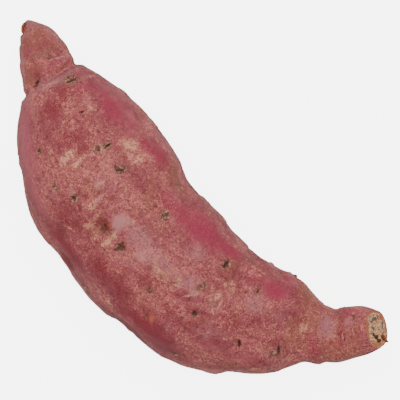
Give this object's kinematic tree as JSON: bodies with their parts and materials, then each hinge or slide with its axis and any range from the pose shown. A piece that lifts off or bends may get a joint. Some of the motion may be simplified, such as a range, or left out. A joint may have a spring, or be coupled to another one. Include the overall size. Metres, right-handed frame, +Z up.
{
  "type": "sweet potato",
  "caption": "Raw sweet potato: a plump bent storage root with a pointed tail, a short neck with a corky scar, small rootlet scars and a flat spot it rests on.",
  "frame": {"origin": "bottom centre of the bounding box, on the surface that the root rests on", "axes": "+X along the length from the root tail to the stem scar, +Y towards the hollow side of the bend, +Z up from the flat spot"},
  "size_m": [0.191, 0.0716, 0.0553],
  "materials": {
    "root_skin": "matte"
  },
  "bodies": {
    "root": {"sweet_potato": "root_skin"}
  },
  "joints": []
}
